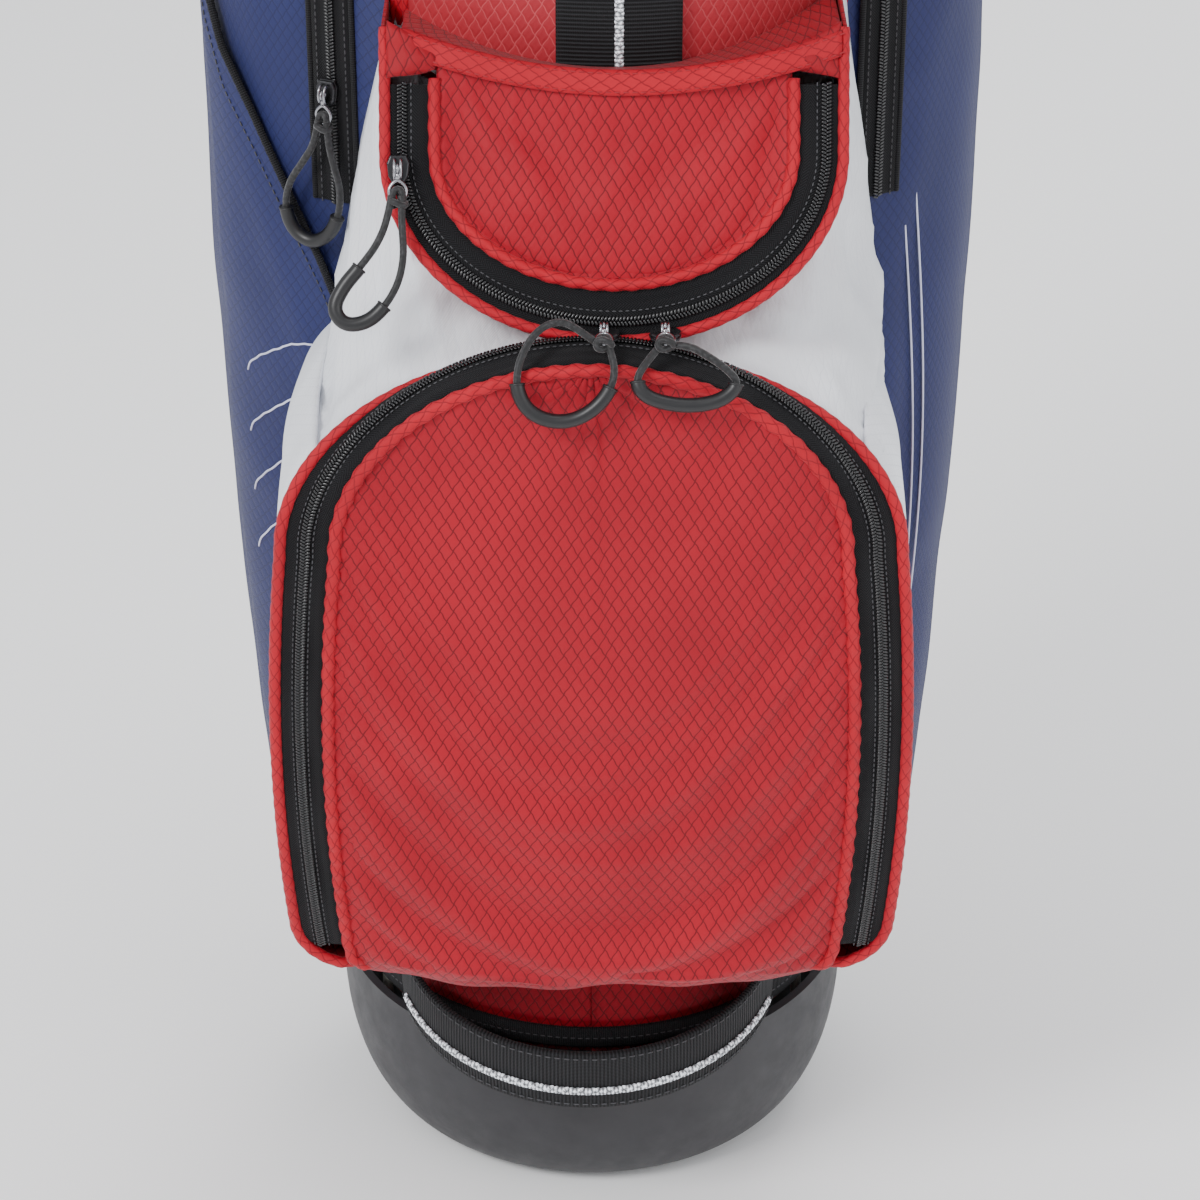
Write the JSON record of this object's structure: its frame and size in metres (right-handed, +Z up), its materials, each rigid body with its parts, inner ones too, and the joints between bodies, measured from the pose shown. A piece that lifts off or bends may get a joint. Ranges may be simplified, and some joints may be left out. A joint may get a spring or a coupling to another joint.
{
  "type": "golf stand bag",
  "caption": "Upright golf stand bag with a moulded base, zipped ball and accessory pockets, side apparel pockets, divided top and fold-out legs.",
  "frame": {"origin": "middle of the base's underside, on the floor", "axes": "+Z up the bag to the collar, -Y out of the ball pocket, +Y towards the legs, +X to the right as seen from the ball pocket"},
  "size_m": [0.3306, 0.3659, 0.88],
  "materials": {
    "base_moulding": "smooth matte",
    "black_plastic": "fine grain",
    "rubber": "matte",
    "steel": "brushed",
    "aluminium": "anodised satin",
    "gunmetal": "dark plated",
    "red_ripstop": "diamond ripstop",
    "white_fabric": "diamond ripstop",
    "navy_fabric": "diamond ripstop",
    "black_webbing": "ribbed webbing",
    "zip": "herringbone tape",
    "cord": "braided",
    "black_padding": "knit mesh",
    "fibreglass": "smooth"
  },
  "bodies": {
    "foot": {"foot_plate": "black_plastic", "foot_sole": "rubber"},
    "leg_left": {"leg_head_left": "black_plastic", "leg_tube_left": "aluminium", "leg_foot_left": "rubber"},
    "leg_right": {"leg_head_right": "black_plastic", "leg_tube_right": "aluminium", "leg_foot_right": "rubber"},
    "push_rod": {"push_rod": "steel"},
    "ball_flap": {"ball_flap": "red_ripstop", "ball_zip_teeth": "zip"},
    "upper_flap": {"upper_flap": "red_ripstop"},
    "base_handle": {"base_handle": "black_webbing"},
    "side_left_slider": {"side_left_slider": "gunmetal"},
    "side_left_pull": {"side_left_pull_tab": "gunmetal", "side_left_pull_cord": "cord", "side_left_pull_sleeve": "rubber"},
    "side_right_slider": {"side_right_slider": "gunmetal"},
    "side_right_pull": {"side_right_pull_tab": "gunmetal", "side_right_pull_cord": "cord", "side_right_pull_sleeve": "rubber"},
    "upper_slider": {"upper_slider": "gunmetal"},
    "upper_pull": {"upper_pull_tab": "gunmetal", "upper_pull_cord": "cord", "upper_pull_sleeve": "rubber"},
    "ball_left_slider": {"ball_left_slider": "gunmetal"},
    "ball_left_pull": {"ball_left_pull_tab": "gunmetal", "ball_left_pull_cord": "cord", "ball_left_pull_sleeve": "rubber"},
    "ball_right_slider": {"ball_right_slider": "gunmetal"},
    "ball_right_pull": {"ball_right_pull_tab": "gunmetal", "ball_right_pull_cord": "cord", "ball_right_pull_sleeve": "rubber"},
    "bag": {"base_cup": "base_moulding", "heel_hinge_pin": "steel", "body_shell": "red_ripstop", "stay_rods": "fibreglass", "divider_fabric": "black_padding", "divider_bars": "black_padding", "top_collar": "black_plastic", "base_binding": "black_webbing", "leg_bracket": "black_plastic", "leg_pivot_pins": "steel", "rod_guides": "black_plastic", "side_pocket_left": "navy_fabric", "side_pocket_right": "navy_fabric", "side_zip_left": "zip", "side_zip_right": "zip", "ball_pocket_gusset": "red_ripstop", "ball_zip_tape": "zip", "shoulder_gusset": "white_fabric", "upper_pocket_shell": "red_ripstop", "upper_zip_tape": "zip", "upper_zip_teeth": "zip", "spine_webbing": "black_webbing", "carry_handle": "black_padding", "shoulder_strap_left": "black_padding", "shoulder_strap_right": "black_padding", "strap_anchors": "black_webbing", "handle_tabs": "black_webbing"}
  },
  "joints": [
    {"name": "lean", "type": "hinge", "parent": "foot", "child": "bag", "pos_m": [0, 0.094, 0.008], "axis": [-1, 0, 0], "range_deg": [0, 32]},
    {"name": "leg_left_swing", "type": "hinge", "parent": "bag", "child": "leg_left", "pos_m": [-0.048, 0.127, 0.775], "axis": [0.933, 0.3597, 0], "range_deg": [0, 43.3]},
    {"name": "leg_right_swing", "type": "hinge", "parent": "bag", "child": "leg_right", "pos_m": [0.048, 0.127, 0.775], "axis": [0.933, -0.3597, 0], "range_deg": [0, 43.3]},
    {"name": "push_rod_slide", "type": "slide", "parent": "bag", "child": "push_rod", "axis": [0, 0, 1], "range_m": [0, 0.0216]},
    {"name": "ball_flap_hinge", "type": "hinge", "parent": "bag", "child": "ball_flap", "pos_m": [0, -0.1808, 0.1928], "axis": [1, 0, 0], "range_deg": [0, 95]},
    {"name": "upper_flap_hinge", "type": "hinge", "parent": "bag", "child": "upper_flap", "pos_m": [0.009, -0.1222, 0.5802], "axis": [-1, 0, 0], "range_deg": [0, 75]},
    {"name": "base_handle_swing", "type": "hinge", "parent": "bag", "child": "base_handle", "pos_m": [0, -0.081, 0.109], "axis": [-1, 0, 0], "range_deg": [0, 27]},
    {"name": "side_left_slide", "type": "slide", "parent": "bag", "child": "side_left_slider", "axis": [0, 0, 1], "range_m": [-0.035, 0.2]},
    {"name": "side_right_slide", "type": "slide", "parent": "bag", "child": "side_right_slider", "axis": [0, 0, 1], "range_m": [-0.2, 0.05]},
    {"name": "upper_slide", "type": "slide", "parent": "bag", "child": "upper_slider", "axis": [0, 0.4408, 0.8976], "range_m": [0, 0.028]},
    {"name": "ball_left_slide", "type": "slide", "parent": "ball_flap", "child": "ball_left_slider", "axis": [-1, 0, 0], "range_m": [0, 0.03]},
    {"name": "ball_right_slide", "type": "slide", "parent": "ball_flap", "child": "ball_right_slider", "axis": [1, 0, 0], "range_m": [0, 0.025]},
    {"name": "side_left_pull_swing", "type": "hinge", "parent": "side_left_slider", "child": "side_left_pull", "pos_m": [-0.11036, -0.06701, 0.537], "axis": [-0.9001, 0.4356, 0], "range_deg": [0, 80]},
    {"name": "side_right_pull_swing", "type": "hinge", "parent": "side_right_slider", "child": "side_right_pull", "pos_m": [0.1242, -0.0595, 0.7], "axis": [-0.8544, -0.5197, 0], "range_deg": [0, 80]},
    {"name": "upper_pull_swing", "type": "hinge", "parent": "upper_slider", "child": "upper_pull", "pos_m": [-0.0755, -0.1509, 0.53961], "axis": [-1, 0, 0], "range_deg": [0, 60]},
    {"name": "ball_left_pull_swing", "type": "hinge", "parent": "ball_left_slider", "child": "ball_left_pull", "pos_m": [0.005, -0.178, 0.4844], "axis": [-1, 0, 0], "range_deg": [0, 45]},
    {"name": "ball_right_pull_swing", "type": "hinge", "parent": "ball_right_slider", "child": "ball_right_pull", "pos_m": [0.029, -0.178, 0.4844], "axis": [-1, 0, 0], "range_deg": [0, 45]}
  ],
  "couplings": [
    {"joint": "leg_left_swing", "follows": "lean", "ratio": 1.35},
    {"joint": "leg_right_swing", "follows": "lean", "ratio": 1.35},
    {"joint": "push_rod_slide", "follows": "lean", "m_per_rad": 0.0383}
  ]
}
